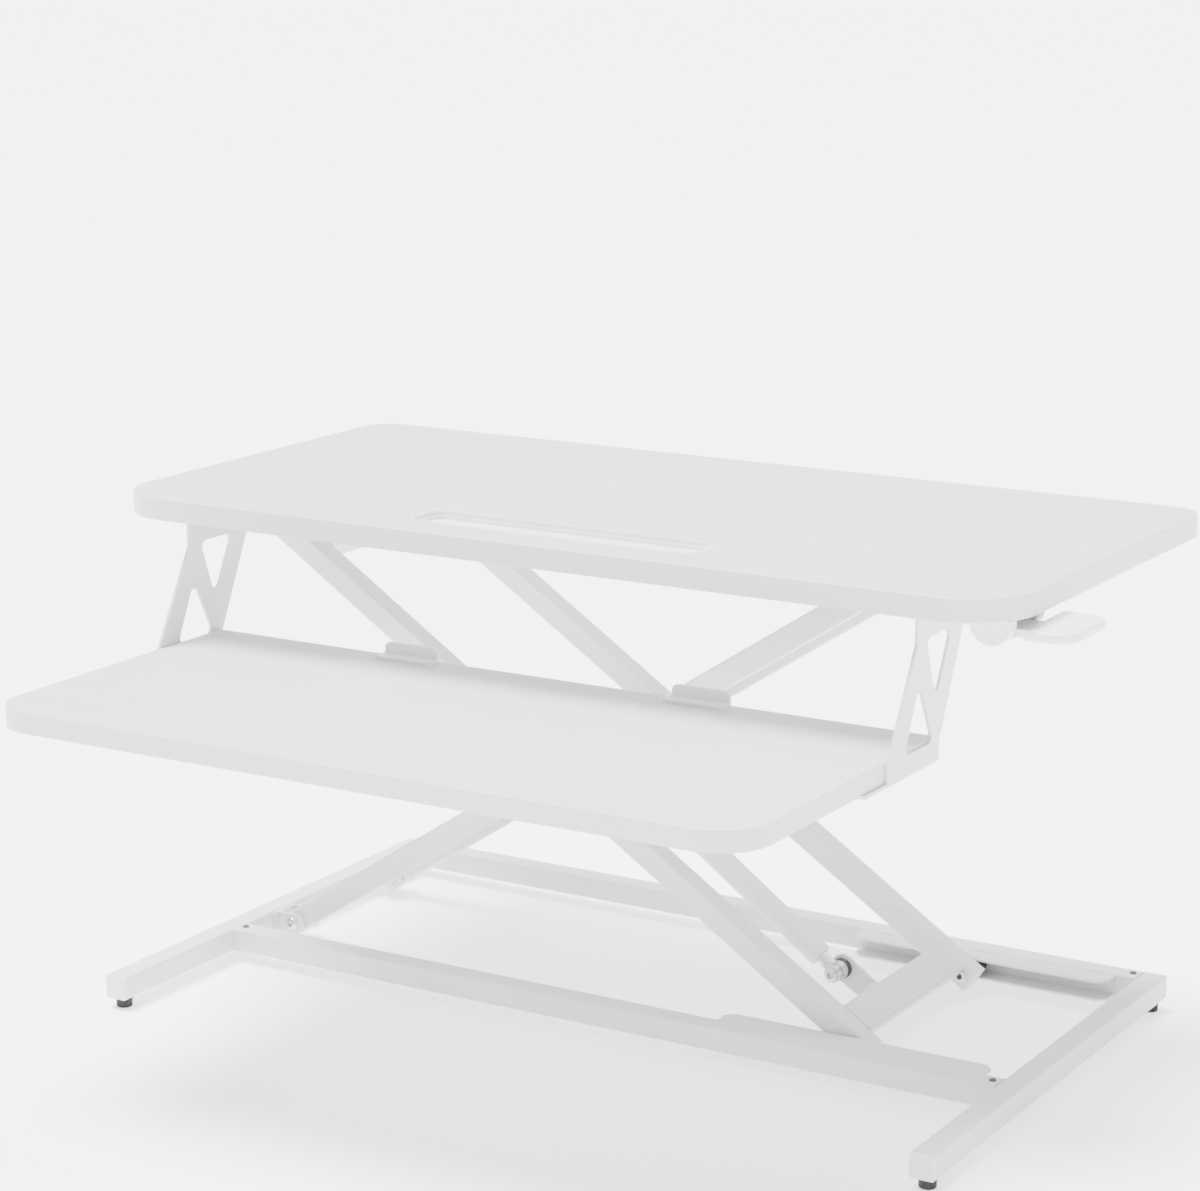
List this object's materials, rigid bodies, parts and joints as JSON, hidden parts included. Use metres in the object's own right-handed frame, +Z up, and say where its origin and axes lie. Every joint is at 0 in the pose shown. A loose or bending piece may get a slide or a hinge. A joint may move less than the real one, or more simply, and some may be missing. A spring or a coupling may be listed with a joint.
{
  "type": "standing desk converter",
  "caption": "Height-adjustable sit-stand desk riser: white desktop with a device slot and a hung keyboard tray on a scissor-arm frame with a gas spring and a release lever.",
  "frame": {"origin": "Table level, under the middle of the whole object's bounding box, desk at mid height.", "axes": "+X to the user's right along the desk, +Y to the back, +Z up."},
  "size_m": [0.834, 0.644, 0.4259],
  "materials": {
    "white_coat": "satin white powder coat",
    "white_laminate": "white melamine-faced board",
    "white_plastic": "moulded white plastic",
    "white_caps": "white plastic caps",
    "zinc_steel": "zinc-plated steel",
    "dark_fasteners": "black-finished screws",
    "black_plastic": "black nylon",
    "black_rubber": "black rubber",
    "spring_grey": "light grey paint",
    "rod_chrome": "polished rod"
  },
  "bodies": {
    "base": {"side_rail_left": "white_coat", "side_rail_right": "white_coat", "front_cross_rail": "white_coat", "rear_cross_rail": "white_coat", "side_rail_end_caps": "white_caps", "rail_spigots": "white_coat", "rail_joint_screws": "dark_fasteners", "rubber_feet": "black_rubber", "foot_studs": "zinc_steel", "lower_tracks": "white_coat", "lower_pivot_brackets": "white_coat", "lower_pivot_bolts": "zinc_steel"},
    "inner_frame": {"inner_arm_front": "white_coat", "inner_arm_rear": "white_coat", "inner_arm_bushes": "zinc_steel", "inner_arm_end_caps": "white_caps", "inner_cross_tube": "white_coat", "inner_top_cross_plate": "white_coat", "centre_bolts": "zinc_steel", "centre_washers": "zinc_steel", "upper_roller_axles": "zinc_steel", "gas_spring_head_bracket": "white_coat", "gas_spring_head_pin": "zinc_steel"},
    "outer_frame": {"outer_arm_front": "white_coat", "outer_arm_rear": "white_coat", "outer_arm_bushes": "zinc_steel", "outer_arm_end_caps": "white_caps", "outer_bottom_cross_plate": "white_coat", "outer_top_cross_tube": "white_coat", "lower_roller_axles": "white_coat", "gas_spring_foot_bracket": "white_coat", "gas_spring_foot_pin": "zinc_steel", "gas_spring_spacers": "black_plastic"},
    "desk": {"desktop": "white_laminate", "device_slot_insert": "white_plastic", "desk_rails": "white_coat", "desk_screws": "dark_fasteners", "upper_pivot_brackets": "white_coat", "upper_pivot_bolts": "zinc_steel", "upper_pivot_washers": "zinc_steel", "upper_tracks": "white_coat", "tray_hanger_left": "white_coat", "tray_hanger_right": "white_coat", "keyboard_tray": "white_laminate", "hanger_tray_screws": "dark_fasteners", "tray_edge_stops": "white_plastic", "lever_housing": "white_plastic", "lever_pivot_pin": "zinc_steel", "lever_spring": "zinc_steel"},
    "lower_front_wheel": {"lower_roller_front": "black_plastic"},
    "lower_rear_wheel": {"lower_roller_rear": "black_plastic"},
    "upper_front_wheel": {"upper_roller_front": "black_plastic"},
    "upper_rear_wheel": {"upper_roller_rear": "black_plastic"},
    "gas_cylinder": {"gas_spring_cylinder": "spring_grey", "gas_spring_guide": "black_plastic", "gas_spring_foot_eye": "zinc_steel"},
    "gas_rod": {"gas_spring_rod": "rod_chrome", "gas_spring_piston": "zinc_steel", "gas_spring_head_eye": "zinc_steel"},
    "lever": {"release_lever": "white_plastic"}
  },
  "joints": [
    {"name": "lift", "type": "hinge", "parent": "base", "child": "inner_frame", "pos_m": [-0.358, 0.171, 0.019], "axis": [0, -1, 0], "range_deg": [-26.34, 8.19]},
    {"name": "scissor_pivot", "type": "hinge", "parent": "inner_frame", "child": "outer_frame", "pos_m": [-0.07768, 0.171, 0.20243], "axis": [0, -1, 0], "range_deg": [-16.48, 52.78]},
    {"name": "desk_pivot", "type": "hinge", "parent": "outer_frame", "child": "desk", "pos_m": [-0.358, 0.171, 0.38587], "axis": [0, -1, 0], "range_deg": [-26.44, 8.29]},
    {"name": "gas_spring_pivot", "type": "hinge", "parent": "outer_frame", "child": "gas_cylinder", "pos_m": [0.15159, 0.131, 0.0524], "axis": [0, -1, 0], "range_deg": [-4.1, 1.34]},
    {"name": "gas_spring_stroke", "type": "slide", "parent": "gas_cylinder", "child": "gas_rod", "axis": [-0.8143, 0, 0.5804], "range_m": [-0.0164, 0.0052]},
    {"name": "lower_front_roll", "type": "hinge", "parent": "outer_frame", "child": "lower_front_wheel", "pos_m": [0.20263, 0.0516, 0.019], "axis": [0, -1, 0], "continuous": true},
    {"name": "lower_rear_roll", "type": "hinge", "parent": "outer_frame", "child": "lower_rear_wheel", "pos_m": [0.20263, 0.2904, 0.019], "axis": [0, -1, 0], "continuous": true},
    {"name": "upper_front_roll", "type": "hinge", "parent": "inner_frame", "child": "upper_front_wheel", "pos_m": [0.20263, 0.0726, 0.38587], "axis": [0, -1, 0], "continuous": true},
    {"name": "upper_rear_roll", "type": "hinge", "parent": "inner_frame", "child": "upper_rear_wheel", "pos_m": [0.20263, 0.2694, 0.38587], "axis": [0, -1, 0], "continuous": true},
    {"name": "lever_squeeze", "type": "hinge", "parent": "desk", "child": "lever", "pos_m": [0.36, -0.024, 0.40187], "axis": [0, -1, 0], "range_deg": [0, 12], "stiffness_Nm_per_rad": 0.4, "springref_deg": -11.46}
  ],
  "couplings": [
    {"joint": "scissor_pivot", "follows": "lift", "ratio": -2},
    {"joint": "desk_pivot", "follows": "lift", "ratio": 1},
    {"joint": "gas_spring_pivot", "follows": "lift", "ratio": 0.152},
    {"joint": "gas_spring_stroke", "follows": "lift", "m_per_rad": 0.0352}
  ]
}
